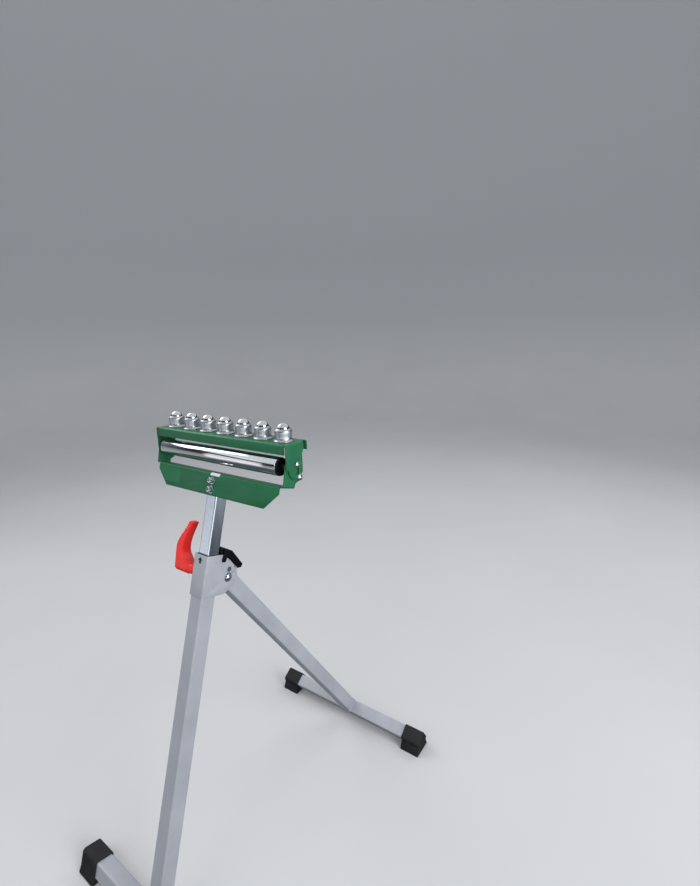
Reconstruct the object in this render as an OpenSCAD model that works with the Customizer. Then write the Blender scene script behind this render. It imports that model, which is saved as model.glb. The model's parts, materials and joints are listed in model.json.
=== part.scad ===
// Folding roller stand: a sliding square column on an A frame of two T legs.
// Its head carries a chrome roller and, above it, a rail of seven balls
// that lifts and swings back to clear the roller.

/* [Working height] */
// Height of the ball tops above the floor
working_h = 880; // [820:1:930]
// Lean of the front leg and column from upright, in degrees
lean = 16; // [12:0.5:20]
// Angle of the rear leg from upright, in degrees
rear_angle = 34.5; // [30:0.5:38]

/* [Leg tubes] */
// Side of the square leg tubes
tube_w = 30; // [28:0.5:32]
// Wall of the leg tubes
tube_t = 1.5; // [1.2:0.1:1.8]
// Outer corner radius of the leg tubes
tube_r = 3; // [2:0.5:4]
// Side of the square inner column
column_w = 25; // [23:0.5:25]
// Wall of the inner column
column_t = 1.5; // [1.2:0.1:2]
// Outer corner radius of the inner column
column_r = 2.5; // [1.5:0.5:3]
// Length of the inner column
column_len = 430; // [380:5:460]

/* [Feet] */
// Length of each foot bar, without its caps
foot_bar_len = 430; // [380:5:520]
// Depth of the rubber sole, front to back
sole_d = 52; // [50:1:60]
// Rubber under the foot bar's lowest edge
sole_t = 5; // [4:0.5:8]
// Wall of the rubber foot caps
cap_t = 3; // [2:0.5:3.5]
// Length of bar that each cap covers
cap_cover = 45; // [30:1:60]

/* [Sleeve] */
// Sheet thickness of the sleeve
sleeve_t = 1.5; // [1:0.1:2]
// Gap between the sleeve and the tube, bridged by the weld dimples
sleeve_gap = 0.4; // [0.3:0.1:0.6]
// Height of the sleeve
sleeve_h = 72; // [70:1:76]
// Column showing between the apron's top edge and the sleeve
column_shown = 142; // [138:1:150]
// Radius of a weld dimple
dimple_r = 2.4; // [1.5:0.1:3]

/* [Rear leg pivot] */
// Pivot bolt behind the column's centre line
leg_pin_back = 36; // [35:0.5:38]
// Pivot bolt below the sleeve's top edge
leg_pin_down = 42; // [40:0.5:44]
// Radius of the pivot bolt
leg_pin_r = 4; // [3:0.5:4.5]
// Radius of the stop pin above it
stop_pin_r = 3; // [2:0.5:3.5]
// Distance of the stop pin from the pivot bolt
stop_pin_rise = 14.2; // [13.8:0.1:15]

/* [Head bracket] */
// Sheet thickness of the bracket
bracket_t = 2; // [1.5:0.1:2.5]
// Inner radius of its bends
bracket_bend = 2; // [1.5:0.5:3]
// Half width across the outside of the ears
ear_x = 161; // [155:0.5:170]
// Half width of the apron
apron_x = 152.8; // [145:0.5:153]
// Height of the apron
apron_h = 39.5; // [37:0.5:44]
// Straight drop of the apron's ends before the chamfer
apron_drop = 12.5; // [10:0.5:16]
// Width of the apron's chamfer
apron_cut = 28; // [20:0.5:35]
// Back edge of the shelf behind the column's centre line
shelf_back = 12.5; // [11.5:0.5:13]
// Radius of the bolts that hold the bracket
head_bolt_r = 3; // [2.5:0.5:3.5]
// Upper bolt below the apron's top edge
head_bolt_1 = 13.2; // [12:0.1:15]
// Lower bolt below the apron's top edge
head_bolt_2 = 28.9; // [27:0.1:31]

/* [Roller] */
// Radius of the roller
roller_r = 15; // [14:0.5:16]
// Half length of the roller's steel tube
roller_x = 145; // [135:0.5:147]
// Wall of the roller's steel tube
roller_t = 1.5; // [1:0.1:2]
// Plug standing out of each end of the tube
plug_out = 2.5; // [1:0.1:4]
// Radius of the roller's axle
axle_r = 4; // [3:0.5:4.5]
// Axle in front of the column's centre line
axle_front = 9; // [8:0.5:10]
// Axle above the shelf
axle_up = 30.5; // [29:0.5:33]

/* [Ball rail] */
// Sheet thickness of the rail
rail_t = 2; // [1.5:0.1:2]
// Half width across the outside of its end plates
rail_x = 163.6; // [163.6:0.1:166]
// Half length of its front lip
lip_x = 158.3; // [150:0.1:159]
// Depth of its front and back lips
lip_h = 15.8; // [12:0.1:17]
// Rail's front face in front of its pivot
rail_front = 24.5; // [23.5:0.5:27]
// Rail's back face behind its pivot
rail_back = 28.5; // [27.5:0.5:30]
// Rail's top face above its pivot
rail_rise = 34.8; // [34:0.1:37]
// Back edge of the end plate behind the pivot
plate_back = 13.2; // [12:0.1:13.2]
// Pivot behind the column's centre line
rail_pin_back = 7.2; // [6:0.1:8]
// Pivot above the shelf
rail_pin_up = 37.1; // [36:0.1:39]
// Radius of the pivot bolt
rail_pin_r = 2.5; // [2:0.1:2.7]
// Radius of the shoe that runs in the slot
shoe_r = 3.4; // [3.3:0.1:3.6]
// Lift of the rail before it swings
rail_lift = 13; // [10:0.5:13]
// Radius of the lock pin
lock_pin_r = 3; // [2.5:0.1:3]
// Lock pin below the pivot
lock_pin_drop = 22; // [22:0.1:23]
// Lock pin behind the pivot
lock_pin_back = 5.5; // [5:0.1:6]

/* [Ball units] */
// Spacing of the ball units
ball_pitch = 45.2; // [42:0.1:46]
// Ball row behind the rail's pivot
ball_back = 2.5; // [0:0.1:4]
// Height of the ball tops above the rail
ball_stand = 29; // [28:0.5:31]
// Radius of a ball
ball_r = 11; // [10:0.1:11.2]
// Radius of a cup's flared skirt
cup_r = 16.6; // [16:0.1:17.2]
// Radius of the stud under a cup
stud_r = 4; // [3:0.1:4.5]

/* [Clamp lever] */
// Lever's axis below the sleeve's top edge
clamp_down = 35; // [33:0.5:38]
// Radius of the lever's hub
hub_r = 11; // [10:0.5:12]
// Outer end of the hub from the centre plane
hub_out = 73; // [70:0.5:78]
// Inner end of the hub from the centre plane
hub_in = 41; // [38:0.5:44]
// Height of the lever above its axis
lever_h = 83; // [78:0.5:86]
// Depth of the lever's arm at its root
lever_t = 22; // [18:0.5:22]
// Depth of the lever's arm at its tip
lever_tip = 15; // [12:0.5:16]
// Radius of the clamp screw
screw_r = 4; // [3:0.5:4.5]

/* [Latch] */
// Latch pivot behind the column's centre line
latch_back = 20.5; // [20:0.1:21.5]
// Latch pivot below the sleeve's top edge
latch_down = 9; // [8:0.1:10]
// Radius of the latch's pivot bosses
latch_boss_r = 3.8; // [3:0.1:4]

/* [Fits] */
// Gap between parts that move past each other
run_gap = 0.3; // [0.25:0.05:0.4]
// Radial clearance of a pin in its bore
pin_fit = 0.06; // [0.03:0.01:0.09]
// Radial clearance of a bolt in its hole
bolt_fit = 0.1; // [0.05:0.01:0.2]

/* [Hidden] */
$fn = 48;
// Small overlap of a cutting tool with what it cuts
eps = 0.5;

// Heights along the leaning column, from the floor, and the frames they fix
pin_z = working_h - ball_stand - rail_rise;
shelf_up = (pin_z + rail_pin_back * sin(lean)) / cos(lean) - rail_pin_up;
sleeve_up = shelf_up - column_shown;
leg_pin_up = sleeve_up - leg_pin_down;
latch_up = sleeve_up - latch_down;
clamp_up = sleeve_up - clamp_down;
tube_half = tube_w / 2;
column_half = column_w / 2;

// Feet: centre height of a bar whose leg leans by a, and the span between the bars
function bar_z(a) = tube_half * (cos(a) + sin(abs(a))) + sole_t;
leg_pin_y = leg_pin_up * sin(lean) + leg_pin_back * cos(lean);
leg_pin_z = leg_pin_up * cos(lean) - leg_pin_back * sin(lean);
rear_reach = (leg_pin_z - bar_z(rear_angle)) * tan(rear_angle);
front_reach = bar_z(lean) * tan(lean);
span = leg_pin_y + rear_reach - front_reach;
foot_y = -span / 2 - front_reach;
rear_leg_len = (leg_pin_z - bar_z(rear_angle)) / cos(rear_angle);
front_bar_up = bar_z(lean) / cos(lean);

// Head and rail
apron_front = column_half + bracket_t;
ear_in = ear_x - bracket_t;
bend_out = bracket_bend + bracket_t;
column_top = shelf_up - bend_out;
rail_pin_y = foot_y + (shelf_up + rail_pin_up) * sin(lean) + rail_pin_back * cos(lean);
plate_in = rail_x - rail_t;
rail_bend_out = 2 * rail_t;
slot_half = shoe_r + run_gap;
plate_r = norm([lock_pin_drop, lock_pin_back]) - lock_pin_r - run_gap;
ball_count = 7;
ball_centre = rail_rise + ball_stand - ball_r;
sleeve_in = tube_half + sleeve_gap;
sleeve_out = sleeve_in + sleeve_t;
// Lock pin in the leg's frame
lock_back = rail_pin_back + lock_pin_drop * sin(lean) + lock_pin_back * cos(lean);
lock_up = rail_pin_up - lock_pin_drop * cos(lean) + lock_pin_back * sin(lean);
// Shoe in the rail's slot: its flange, and the flange's inner face
shoe_flange = 0.8;
shoe_out = rail_x + run_gap;
// Latch spring
spring_turns = 5;
spring_len = 7.6;
spring_mean_r = 2.3;
spring_wire_r = 0.4;
spring_rings = 8;

// Frame of the front leg: Z up along the leg, Y to the rear, floor at 0
module on_leg(up = 0, back = 0) {
    translate([0, foot_y, 0]) rotate([-lean, 0, 0]) translate([0, back, up]) children();
}
// Frame of the rear leg: origin on its pivot, -Z down along the leg
module on_rear_leg() {
    translate([0, foot_y + leg_pin_y, leg_pin_z]) rotate([rear_angle, 0, 0]) children();
}
// Frame of the rail: origin on its pivot, level
module on_rail() {
    translate([0, rail_pin_y, pin_z]) children();
}
// Shape turned so that its Z runs along X, with the 2D outline in Y and Z
module along_x(len) {
    rotate([90, 0, 90]) linear_extrude(len, center = true) children();
}
// Pin or hole along X
module x_pin(r, len) {
    rotate([0, 90, 0]) cylinder(r = r, h = len, center = true);
}
// Copies on the +X and -X sides
module both_sides() {
    children();
    mirror([1, 0, 0]) children();
}
// Rectangle with true round corners
module round_rect(w, d, r) {
    square([w - 2 * r, d], center = true);
    square([w, d - 2 * r], center = true);
    for (x = [-1, 1], y = [-1, 1]) translate([x * (w / 2 - r), y * (d / 2 - r)]) circle(r);
}
// Wall of a square tube
module tube_wall(w, t, r) {
    difference() {
        round_rect(w, w, r);
        round_rect(w - 2 * t, w - 2 * t, max(r - t, 0.5));
    }
}
// Quarter of a bent sheet, in the corner of +X and +Y
module bend_quarter(inner, t) {
    difference() {
        intersection() {
            circle(inner + t);
            square(inner + t);
        }
        circle(inner);
    }
}
// Curved slot of width w on radius r, between angles a and b
module arc_slot(r, w, a, b) {
    steps = 14;
    polygon(concat(
        [for (i = [0 : steps]) let (g = a + (b - a) * i / steps) (r + w / 2) * [cos(g), sin(g)]],
        [for (i = [steps : -1 : 0]) let (g = a + (b - a) * i / steps) (r - w / 2) * [cos(g), sin(g)]]
    ));
}
// Bolt or nut hexagon, by its width across flats, along Z
module hexagon(af, h) {
    cylinder(d = af / cos(30), h = h, $fn = 6);
}

// Front leg: square tube welded on top of its foot bar
module lower_tube() {
    low = front_bar_up + tube_half;
    color("silver") difference() {
        on_leg(low) linear_extrude(sleeve_up - 3 - low) tube_wall(tube_w, tube_t, tube_r);
        on_leg(clamp_up) translate([-tube_half, 0, 0]) x_pin(screw_r + bolt_fit, 4 * tube_t);
    }
}

// Side outline of the sleeve: from its front face back to the ears, top edge at 0
module sleeve_side() {
    lobe_r = 21.4;
    polygon([
        [-sleeve_out, 0], [18, 0], [30.8, -7.8], [54.5, -26.5], [59, -leg_pin_down],
        [53, -57.5], [34, -70.5], [31, -sleeve_h], [-sleeve_out, -sleeve_h]
    ]);
    translate([leg_pin_back, 1 - leg_pin_down]) circle(lobe_r);
}
// Folded sheet sleeve: wraps the tube's front and sides, and its sides run back as ears
module sleeve() {
    outer_r = sleeve_t + 1;
    back_y = 80;
    arc_r = 7;
    dimples = [[3.5, -14.5], [4.5, -58]];
    color("lightslategray") on_leg(sleeve_up) difference() {
        union() {
            intersection() {
                translate([0, 0, -sleeve_h]) linear_extrude(sleeve_h) difference() {
                    translate([0, back_y - sleeve_out])
                        round_rect(2 * sleeve_out, 2 * back_y, outer_r);
                    translate([0, back_y - sleeve_in + eps / 2])
                        round_rect(2 * sleeve_in, 2 * back_y + eps, outer_r - sleeve_t);
                }
                along_x(3 * sleeve_out) sleeve_side();
            }
            for (d = dimples, x = [-1, 1])
                translate([x * (tube_half + sleeve_gap), d[0], d[1]]) x_pin(dimple_r, 2 * sleeve_gap);
        }
        for (d = dimples, x = [-1, 1])
            translate([x * sleeve_out, d[0], d[1]]) x_pin(dimple_r - 0.6, sleeve_t);
        translate([0, leg_pin_back, -leg_pin_down]) {
            x_pin(leg_pin_r + bolt_fit, 3 * sleeve_out);
            translate([0, 0, stop_pin_rise]) {
                x_pin(stop_pin_r + bolt_fit, 3 * sleeve_out);
                translate([0, arc_r + 0.5, -0.5]) along_x(3 * sleeve_out) arc_slot(arc_r, 2.4, -95, 42);
            }
        }
        translate([0, latch_back, -latch_down]) x_pin(latch_boss_r + pin_fit, 3 * sleeve_out);
        translate([-sleeve_out, 0, -clamp_down]) x_pin(screw_r + bolt_fit, 4 * sleeve_t);
    }
}

// Foot bar across the lower end of a leg, in the leg's frame
module foot_bar() {
    rotate([90, 0, 90]) linear_extrude(foot_bar_len, center = true) tube_wall(tube_w, tube_t, tube_r);
}
module front_foot_bar() {
    color("silver") on_leg(front_bar_up) foot_bar();
}
// Rubber cap on each end of a bar leaning by a, with a level sole
module foot_caps(a) {
    cap_w = tube_w + 2 * cap_t;
    end_x = foot_bar_len / 2 + cap_t;
    start_x = foot_bar_len / 2 - cap_cover;
    fit = 0.1;
    both_sides() difference() {
        translate([start_x, 0, 0]) rotate([90, 0, 90]) linear_extrude(end_x - start_x) {
            rotate(-a) round_rect(cap_w, cap_w, tube_r + cap_t);
            translate([-sole_d / 2, -bar_z(a)]) square([sole_d, sole_t - 1]);
            polygon([
                [-sole_d / 2, sole_t - 1 - bar_z(a)], [sole_d / 2, sole_t - 1 - bar_z(a)],
                [cap_w / 2, -2], [-cap_w / 2, -2]
            ]);
        }
        translate([start_x - eps, 0, 0]) rotate([90, 0, 90])
            linear_extrude(cap_cover + eps + fit) rotate(-a)
                round_rect(tube_w + 2 * fit, tube_w + 2 * fit, tube_r + fit);
    }
}
module front_foot_caps() {
    color("#1a1c20") translate([0, -span / 2, bar_z(lean)]) foot_caps(lean);
}

// Plastic guide between the leg tube and the column, with a flange on the tube's end
module column_guide() {
    outer = tube_w - 2 * tube_t - 0.2;
    inner = column_w + 2 * run_gap;
    flange_t = 2.5;
    depth = 22;
    color("#1a1c20") on_leg(sleeve_up - 3) difference() {
        union() {
            linear_extrude(flange_t) round_rect(tube_w - 0.4, tube_w - 0.4, tube_r);
            translate([0, 0, -depth]) linear_extrude(depth + 1) round_rect(outer, outer, tube_r - tube_t);
        }
        translate([0, 0, -depth - eps]) linear_extrude(depth + 2 * eps + flange_t)
            round_rect(inner, inner, column_r + run_gap);
    }
}

// Domed bolt head: a low round button standing on X = 0
module dome(r, h) {
    rotate([0, 90, 0]) rotate_extrude() intersection() {
        translate([0, h - (r * r + h * h) / (2 * h)]) circle((r * r + h * h) / (2 * h), $fn = 96);
        square([r, h]);
    }
}

// Pivot bolt of the rear leg, with a washer and a domed head on the right
module leg_pivot_bolt() {
    washer_t = 1.2;
    color("gainsboro") on_leg(leg_pin_up, leg_pin_back) {
        translate([-3, 0, 0]) x_pin(leg_pin_r, 2 * sleeve_out + 6);
        translate([sleeve_out + washer_t / 2, 0, 0]) x_pin(8, washer_t);
        translate([sleeve_out + washer_t, 0, 0]) dome(6.5, 3.6);
    }
}
module leg_pivot_nut() {
    color("gainsboro") on_leg(leg_pin_up, leg_pin_back) translate([-sleeve_out, 0, 0]) difference() {
        rotate([0, -90, 0]) union() {
            cylinder(r = 8, h = 1.2);
            translate([0, 0, 1.2]) hexagon(13, 6.5);
        }
        x_pin(leg_pin_r + pin_fit, 20);
    }
}
// Pin through both ears that the rear leg's shoulder opens against
module leg_stop_pin() {
    color("gainsboro") on_leg(leg_pin_up + stop_pin_rise, leg_pin_back) {
        x_pin(stop_pin_r, 2 * sleeve_out + 1);
        for (x = [-1, 1]) translate([x * (sleeve_out + 0.5), 0, 0]) x_pin(stop_pin_r + 1.6, 1);
    }
}

// Threaded boss of the clamp screw, welded on the sleeve's left side
module clamp_nut() {
    depth = 6;
    color("gray") on_leg(clamp_up) translate([-sleeve_out - depth / 2, 0, 0]) difference() {
        x_pin(8, depth);
        x_pin(screw_r + pin_fit, depth + 1);
    }
}
// Pad between the screw's tip and the column
module clamp_pad() {
    color("goldenrod") on_leg(clamp_up) translate([-(column_half + 0.2 + 0.9), 0, 0]) x_pin(screw_r - 0.5, 1.2);
}

// Coil spring between the tube's rear face and the latch: one helix, six-sided wire
function spring_point(i, k) =
    let (a = 360 * i / spring_rings, b = 60 * k,
         along = spring_wire_r * 1.2 + (spring_len - spring_wire_r * 2.4) * i / (spring_turns * spring_rings))
    [(spring_mean_r + spring_wire_r * cos(b)) * cos(a), along + spring_wire_r * sin(b),
     (spring_mean_r + spring_wire_r * cos(b)) * sin(a)];
module latch_spring() {
    last = spring_turns * spring_rings;
    points = [for (i = [0 : last], k = [0 : 5]) spring_point(i, k)];
    sides = [for (i = [0 : last - 1], k = [0 : 5], t = [0, 1])
        let (a = 6 * i + k, b = 6 * i + (k + 1) % 6)
        t == 0 ? [a, b, a + 6] : [b, b + 6, a + 6]];
    ends = [for (k = [1 : 4], t = [0, 1]) t == 0 ? [0, k + 1, k] : [6 * last, 6 * last + k, 6 * last + k + 1]];
    color("gray") on_leg(latch_up - 8.3, tube_half + 0.1) polyhedron(points, concat(sides, ends));
}

// Rear leg: its side walls end in a round nose, with a shoulder for the stop pin
module rear_leg() {
    nose_r = stop_pin_rise - stop_pin_r - run_gap;
    fold = lean + rear_angle;
    shoulder = fold + asin((stop_pin_r + run_gap) / stop_pin_rise);
    low = -(rear_leg_len - tube_half);
    color("silver") on_rear_leg() difference() {
        intersection() {
            translate([0, 0, low]) linear_extrude(-low + tube_w) tube_wall(tube_w, tube_t, tube_r);
            along_x(tube_w + 1) {
                translate([-tube_half, low]) square([tube_w, -low]);
                circle(nose_r);
                polygon([[0, 0], [tube_half, 0], [tube_half, tube_half / tan(shoulder)]]);
            }
        }
        x_pin(leg_pin_r + 2 + pin_fit, tube_w + 2);
    }
}
module rear_leg_bush() {
    color("gainsboro") on_rear_leg() difference() {
        x_pin(leg_pin_r + 2, tube_w + 0.2);
        x_pin(leg_pin_r + pin_fit, tube_w + 2);
    }
}
module rear_foot_bar() {
    color("silver") on_rear_leg() translate([0, 0, -rear_leg_len]) foot_bar();
}
module rear_foot_caps() {
    color("#1a1c20") translate([0, span / 2, bar_z(rear_angle)]) foot_caps(-rear_angle);
}

// Inner column with cross holes for the bracket's bolts
module column() {
    color("lightsteelblue") on_leg(column_top - column_len) difference() {
        linear_extrude(column_len) tube_wall(column_w, column_t, column_r);
        for (d = [head_bolt_1, head_bolt_2])
            translate([0, 0, column_len + shelf_up - column_top - d]) rotate([90, 0, 0])
                cylinder(r = head_bolt_r + bolt_fit, h = 2 * column_w, center = true);
    }
}
// Plug in the column's lower end, whose rim fills the leg tube
module column_plug() {
    rim = tube_w - 2 * tube_t - 2 * run_gap;
    inside = column_w - 2 * column_t - 0.2;
    color("#1a1c20") on_leg(column_top - column_len) {
        translate([0, 0, -3]) linear_extrude(3) round_rect(rim, rim, tube_r - tube_t);
        linear_extrude(16) round_rect(inside, inside, 1);
    }
}

// Outline of a bracket ear, back from the column's centre line and up from the shelf
module ear_outline() {
    start = bend_out - bracket_t;
    polygon([
        [-apron_front, start], [-apron_front, 6], [-axle_front - 7.4, axle_up],
        [-axle_front, axle_up + 8], [rail_pin_back, rail_pin_up + 8], [rail_pin_back + 7.6, rail_pin_up - 3],
        [lock_back + 6, lock_up + 1.5], [lock_back + 2, lock_up - 5.8], [shelf_back, 6], [shelf_back, start]
    ]);
    translate([-axle_front, axle_up]) circle(8);
    translate([rail_pin_back, rail_pin_up]) circle(8);
    translate([lock_back, lock_up]) circle(6.2);
}
// Head bracket: leaning apron, shelf square to it, and an ear at each end
module roller_bracket() {
    shelf_x = ear_x - bend_out;
    back = shelf_back;
    color("seagreen") on_leg(shelf_up) difference() {
        union() {
            translate([-shelf_x, -apron_front + bend_out, -bracket_t])
                cube([2 * shelf_x, back + apron_front - bend_out, bracket_t]);
            translate([-apron_x, -apron_front + bend_out, -bend_out])
                rotate([90, 0, 90]) linear_extrude(2 * apron_x) rotate(90) bend_quarter(bracket_bend, bracket_t);
            translate([0, -apron_front, 0]) rotate([90, 0, 0]) mirror([0, 0, 1]) linear_extrude(bracket_t)
                polygon([
                    [-apron_x, -bend_out], [apron_x, -bend_out], [apron_x, -apron_drop],
                    [apron_x - apron_cut, -apron_h], [-apron_x + apron_cut, -apron_h],
                    [-apron_x, -apron_drop]
                ]);
            both_sides() {
                translate([ear_x - bend_out, back, bend_out - bracket_t]) rotate([90, 0, 0])
                    linear_extrude(back + apron_front) rotate(-90) bend_quarter(bracket_bend, bracket_t);
                translate([ear_x - bend_out - 1, -apron_front, -bracket_t])
                    cube([1, back + apron_front, bracket_t]);
                translate([ear_x - bracket_t / 2, 0, 0]) along_x(bracket_t) ear_outline();
            }
        }
        for (d = [head_bolt_1, head_bolt_2]) translate([0, -apron_front, -d]) rotate([90, 0, 0])
            cylinder(r = head_bolt_r + bolt_fit, h = 4 * bracket_t, center = true);
        both_sides() translate([ear_x, 0, 0]) {
            translate([0, -axle_front, axle_up]) x_pin(axle_r + pin_fit, 6 * bracket_t);
            translate([0, rail_pin_back, rail_pin_up]) x_pin(rail_pin_r + pin_fit, 6 * bracket_t);
            translate([0, lock_back, lock_up]) x_pin(lock_pin_r + pin_fit, 6 * bracket_t);
        }
    }
}

// Bolts through apron and column: heads behind the column, ends in front
module head_bolts() {
    head_h = 4;
    tail = 8.5;
    color("gainsboro") for (d = [head_bolt_1, head_bolt_2]) on_leg(shelf_up - d) {
        translate([0, column_half + head_h, 0]) rotate([90, 0, 0])
            cylinder(r = head_bolt_r, h = column_w + bracket_t + head_h + tail);
        translate([0, column_half + head_h, 0]) rotate([90, 0, 0]) hexagon(10, head_h);
    }
}
module head_nuts() {
    flange_t = 1.4;
    color("gainsboro") for (d = [head_bolt_1, head_bolt_2]) on_leg(shelf_up - d, -apron_front)
        rotate([90, 0, 0]) difference() {
            union() {
                cylinder(r = 6.6, h = flange_t);
                translate([0, 0, flange_t]) hexagon(10, 4.6);
            }
            translate([0, 0, -1]) cylinder(r = head_bolt_r + pin_fit, h = 9);
        }
}

// Roller: steel tube, plugs with the axle's bore, and the fixed axle
module on_axle() {
    on_leg(shelf_up + axle_up, -axle_front) children();
}
module roller_tube() {
    color("white") on_axle() difference() {
        x_pin(roller_r, 2 * roller_x);
        x_pin(roller_r - roller_t, 2 * roller_x + 1);
    }
}
module roller_plugs() {
    plug_in = 14;
    bore = roller_r - roller_t;
    color("#25272b") on_axle() both_sides() translate([roller_x, 0, 0]) difference() {
        rotate([0, 90, 0]) rotate_extrude() polygon([
            [axle_r + pin_fit, -plug_in], [bore, -plug_in], [bore, 0], [roller_r - 0.6, 0],
            [roller_r - 0.6, plug_out - 1], [roller_r - 1.6, plug_out], [axle_r + pin_fit, plug_out]
        ]);
        for (a = [0 : 60 : 300]) rotate([a, 0, 0]) translate([plug_out, 0, (bore + axle_r) / 2 + 0.4])
            rotate([0, 90, 0]) cylinder(r = 2.6, h = 2.4, center = true);
    }
}
module roller_axle() {
    color("gainsboro") on_axle() x_pin(axle_r, 2 * ear_x - 0.1);
}
module axle_spacers() {
    inner_x = roller_x + plug_out + run_gap;
    color("#25272b") on_axle() both_sides() translate([(inner_x + ear_in) / 2, 0, 0]) difference() {
        x_pin(axle_r + 2.5, ear_in - inner_x);
        x_pin(axle_r + pin_fit, ear_in);
    }
}

// Pivot bolts of the rail: domed heads outside, nuts inside the ears
module rail_pivot_bolts() {
    head_x = shoe_out + shoe_flange + 0.1;
    color("gainsboro") on_rail() both_sides() {
        translate([(head_x + ear_in - 5) / 2, 0, 0]) x_pin(rail_pin_r, head_x - ear_in + 5);
        translate([head_x, 0, 0]) dome(4.8, 2.4);
    }
}
module rail_pivot_nuts() {
    color("gainsboro") on_rail() both_sides() translate([ear_in, 0, 0]) difference() {
        rotate([0, -90, 0]) rotate(30) hexagon(8, 4);
        x_pin(rail_pin_r + pin_fit, 20);
    }
}
// Nylon shoes that turn on the pivot bolts and run in the rail's slots
module rail_shoes() {
    color("#25272b") on_rail() both_sides() difference() {
        union() {
            translate([(ear_x + 0.1 + shoe_out) / 2, 0, 0]) x_pin(shoe_r, shoe_out - ear_x - 0.1);
            translate([shoe_out + shoe_flange / 2, 0, 0]) x_pin(4.6, shoe_flange);
        }
        translate([rail_x, 0, 0]) x_pin(rail_pin_r + pin_fit, 20);
    }
}
// Round-head pins in the ears, under the rail's end plates
module lock_pins() {
    head_x = rail_x + 0.5;
    color("gainsboro") on_rail() translate([0, lock_pin_back, -lock_pin_drop]) both_sides() {
        translate([(head_x + ear_in - 1.5) / 2, 0, 0]) x_pin(lock_pin_r, head_x - ear_in + 1.5);
        translate([ear_in - 0.75, 0, 0]) x_pin(lock_pin_r + 1.5, 1.5);
        translate([head_x, 0, 0]) dome(5.4, 3);
    }
}

// Outline of an end plate about the pivot: back to +X, up to +Y. Its nose stands in front
// of the lock pin, and an arc about the pivot keeps the rest clear of the pin.
module plate_outline() {
    nose_low = -lock_pin_drop - 2.6;
    flank = lock_pin_back - lock_pin_r - run_gap;
    top = rail_rise - rail_bend_out;
    difference() {
        polygon([
            [-rail_front, -4.5], [-rail_front, top], [17, top], [17, 22], [plate_back, 16],
            [plate_back, -30], [flank, -30], [flank, nose_low + 2],
            [flank - 2, nose_low], [-9, nose_low + 1.2], [-15.5, -17], [-19, -11], [-20.4, -4.5]
        ]);
        difference() {
            translate([flank, -40]) square([60, 40]);
            circle(plate_r);
        }
    }
}
// Rail: inverted channel with end plates, slots, and holes for the ball units
module ball_rail() {
    depth = rail_front + rail_back;
    mid = (rail_back - rail_front) / 2;
    top = rail_rise - rail_t;
    plate_depth = rail_front + 17;
    module lip(len, side) {
        edge = mid + side * depth / 2;
        translate([-len, edge - side * rail_bend_out, rail_rise - rail_bend_out]) rotate([90, 0, 90])
            linear_extrude(2 * len) mirror([side < 0 ? 1 : 0, 0]) bend_quarter(rail_t, rail_t);
        translate([-len, side > 0 ? edge - rail_t : edge, rail_rise - lip_h])
            cube([2 * len, rail_t, lip_h - rail_bend_out]);
    }
    color("seagreen") on_rail() difference() {
        union() {
            translate([-lip_x, -rail_front + rail_bend_out, top])
                cube([2 * lip_x, depth - 2 * rail_bend_out, rail_t]);
            lip(lip_x, -1);
            lip(plate_in, 1);
            both_sides() {
                translate([0, 0, top]) linear_extrude(rail_t) polygon([
                    [lip_x - 1, -rail_front + rail_bend_out], [rail_x - rail_bend_out, -rail_front + 1],
                    [rail_x - rail_bend_out, 17], [rail_x - rail_bend_out - 3, rail_back - rail_bend_out],
                    [lip_x - 1, rail_back - rail_bend_out]
                ]);
                translate([rail_x - rail_bend_out, 17, rail_rise - rail_bend_out]) rotate([90, 0, 0])
                    linear_extrude(plate_depth) bend_quarter(rail_t, rail_t);
                translate([rail_x - rail_t / 2, 0, 0]) along_x(rail_t) plate_outline();
            }
        }
        both_sides() translate([rail_x, 0, 0]) {
            x_pin(slot_half, 4 * rail_t);
            translate([0, 0, -rail_lift]) x_pin(slot_half, 4 * rail_t);
            translate([-2 * rail_t, -slot_half, -rail_lift]) cube([4 * rail_t, 2 * slot_half, rail_lift]);
        }
        for (i = [1 : ball_count]) on_ball(i) translate([0, 0, rail_rise - rail_t - 1])
            cylinder(r = stud_r + bolt_fit, h = 2 * rail_t);
    }
}

// Place of ball unit i along the rail
module on_ball(i) {
    translate([(i - (ball_count + 1) / 2) * ball_pitch, ball_back, 0]) children();
}
// Pressed steel cups, each on a stud through the rail
module ball_cups() {
    h = ball_stand - 8.7;
    seat_r = ball_r + run_gap;
    centre = ball_stand - ball_r;
    color("gainsboro") on_rail() for (i = [1 : ball_count]) on_ball(i) translate([0, 0, rail_rise]) {
        difference() {
            rotate_extrude() polygon([
                [0, 0], [cup_r - 0.2, 0], [cup_r, 0.5], [cup_r - 0.4, 1.4], [cup_r - 2, 3],
                [cup_r - 2.9, 5], [cup_r - 3, 7], [cup_r - 2.4, h - 6.3], [cup_r - 2.4, h - 4.9],
                [cup_r - 3.1, h - 2.7], [cup_r - 4.6, h - 0.7], [cup_r - 5.3, h], [0, h]
            ]);
            translate([0, 0, centre]) sphere(r = seat_r);
        }
        translate([0, 0, -10]) cylinder(r = stud_r, h = 10.5);
    }
}
module ball_nuts() {
    color("gainsboro") on_rail() for (i = [1 : ball_count]) on_ball(i)
        translate([0, 0, rail_rise - rail_t - 5]) difference() {
            hexagon(12, 5);
            translate([0, 0, -1]) cylinder(r = stud_r + pin_fit, h = 7);
        }
}
module steel_ball(i) {
    color("white") on_rail() on_ball(i) translate([0, 0, ball_centre]) sphere(r = ball_r);
}
module ball_1() { steel_ball(1); }
module ball_2() { steel_ball(2); }
module ball_3() { steel_ball(3); }
module ball_4() { steel_ball(4); }
module ball_5() { steel_ball(5); }
module ball_6() { steel_ball(6); }
module ball_7() { steel_ball(7); }

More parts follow.
